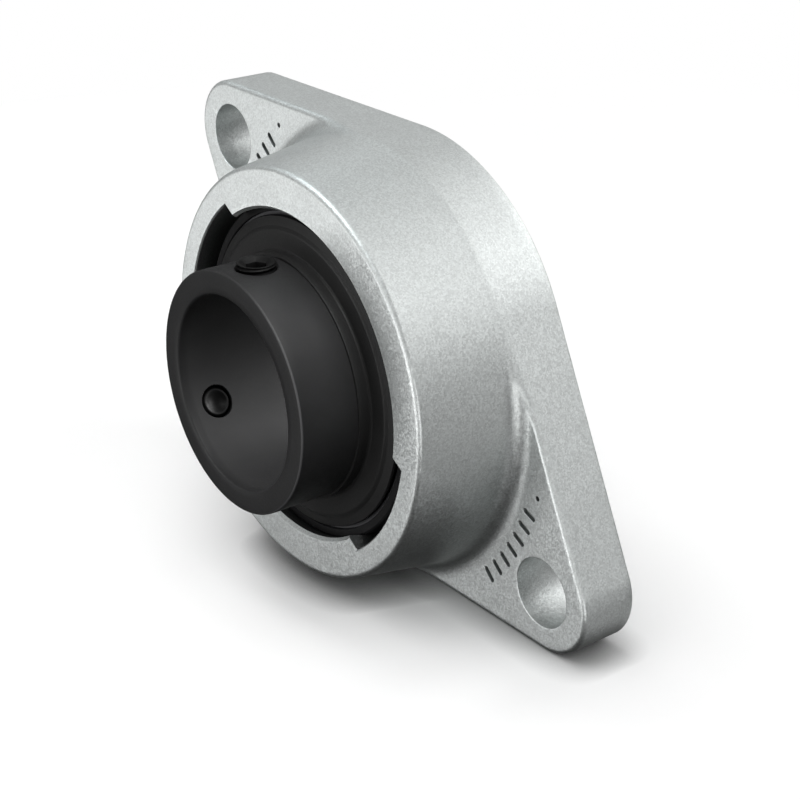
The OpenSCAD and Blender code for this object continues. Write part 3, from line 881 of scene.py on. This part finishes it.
# ---------------------------------------------------------------------------
# World: white to the camera, dark to everything else
# ---------------------------------------------------------------------------
def build_world():
    world = bpy.data.worlds.new("studio")
    bpy.context.scene.world = world
    world.use_nodes = True
    tree = world.node_tree
    tree.nodes.clear()
    seen, lighting = (
        add_node(tree, "ShaderNodeBackground", {"Color": (1, 1, 1, 1), "Strength": strength})
        for strength in (1.0, 0.0))
    path = add_node(tree, "ShaderNodeLightPath")
    mix = add_node(tree, "ShaderNodeMixShader", {
        "Fac": path.outputs["Is Camera Ray"],
        1: lighting.outputs["Background"], 2: seen.outputs["Background"]})
    add_node(tree, "ShaderNodeOutputWorld", {"Surface": mix.outputs["Shader"]})


build_world()

# ---------------------------------------------------------------------------
# Lights: three tents of small soft boxes round the object, one for the casting, one for the
# other pieces and one for the floor, so that each keeps its own tone.
# A rig is {degrees above the floor: {degrees round from the camera towards its right: watts}}.
# ---------------------------------------------------------------------------
BOX_SIZE = {88: 0.38, 58: 0.36, 34: 0.34, 12: 0.32, -12: 0.36, -38: 0.36}     # metres
RIG_CAST = {
    88: {0: 0.68},
    58: {0: 0.12, 45: 0.56, 90: 0.35, 135: 0.34, 180: 0.24, 225: 0.8, 270: 1.7, 315: 0.59},
    34: {0: 0.15, 30: 0.59, 60: 0.45, 90: 0.74, 120: 1.06, 150: 0.35,
         180: 0.27, 210: 0.15, 240: 0.25, 270: 0.25, 300: 0.35, 330: 0.25},
    12: {0: 0.12, 26: 0.26, 51: 0.2, 77: 0.3, 103: 0.42, 129: 0.12, 154: 0.12,
         180: 0.14, 206: 0.15, 231: 0.15, 257: 0.15, 283: 0.2, 309: 0.4, 334: 0.25},
    -12: {0: 1.18, 60: 0.31, 240: 0.54, 270: 0.92, 300: 1.35, 330: 0.25},
    -38: {40: 0.25, 80: 0.17, 120: 0.27, 280: 0.28},
}
RIG_INSERT = {
    88: {0: 0.8},
    58: {0: 3.9, 45: 3.1, 135: 1.5},
    34: {30: 0.3, 120: 4.1, 300: 0.15},
    12: {26: 0.5, 103: 4.9, 129: 9.0, 283: 1.65},
    -12: {90: 0.5, 150: 5.6, 270: 0.45, 300: 1.45},
}
RIG_FLOOR = {
    88: {0: 1.5},
    58: {0: 0.65, 225: 1.65, 270: 1.0, 315: 0.95},
    34: {0: 1.0, 30: 0.5, 60: 0.6},
    12: {51: 2.7, 129: 1.65, 154: 0.5, 180: 0.55, 206: 0.3, 231: 2.4},
}
COOL_BOXES = (("cast", 58, 225), ("cast", 58, 270))     # cool light on the top of the hub
COOL = (0.93, 1.0, 1.02)
TENT_R = 0.8
TENT_CENTRE = Vector((0, 0, 0.03))

tent_up = Vector(FLOOR_UP)
to_camera = Vector(CAMERA_PLACE) - TENT_CENTRE
camera_way = (to_camera - tent_up * to_camera.dot(tent_up)).normalized()    # level
right_way = tent_up.cross(camera_way)


def soft_box(name, where, size, watts):
    """Square area light aimed at the tent's centre."""
    light = bpy.data.lights.new(name, "AREA")
    light.shape = "RECTANGLE"
    light.size = size
    light.size_y = size
    light.energy = watts
    ob = bpy.data.objects.new(name, light)
    bpy.context.scene.collection.objects.link(ob)
    ob.location = where
    ob.rotation_mode = "QUATERNION"
    ob.rotation_quaternion = (TENT_CENTRE - where).to_track_quat("-Z", "Y")
    ob.visible_camera = False
    return ob


def tent(name, rig, lit):
    """Places one tent of boxes that lights only the given objects."""
    group = bpy.data.collections.new("lit_" + name)
    for ob in lit:
        group.objects.link(ob)
    for elevation, row in rig.items():
        for azimuth, watts in row.items():
            rise, turn = math.radians(elevation), math.radians(azimuth)
            level = camera_way * math.cos(turn) + right_way * math.sin(turn)
            way = level * math.cos(rise) + tent_up * math.sin(rise)
            sign = "n" if elevation < 0 else ""
            box = soft_box(f"{name}_{sign}{abs(elevation):02d}_{azimuth:03d}",
                           TENT_CENTRE + way * TENT_R, BOX_SIZE[elevation], watts)
            if (name, elevation, azimuth) in COOL_BOXES:
                box.data.color = COOL
            box.light_linking.receiver_collection = group


insert_pieces = [ob for ob in bpy.context.scene.objects
                 if ob.type == "MESH" and ob not in (housing, floor)]
tent("cast", RIG_CAST, [housing])
tent("insert", RIG_INSERT, insert_pieces)
tent("floor", RIG_FLOOR, [floor])

bpy.context.scene.view_settings.view_transform = "Standard"
bpy.context.scene.view_settings.look = "None"
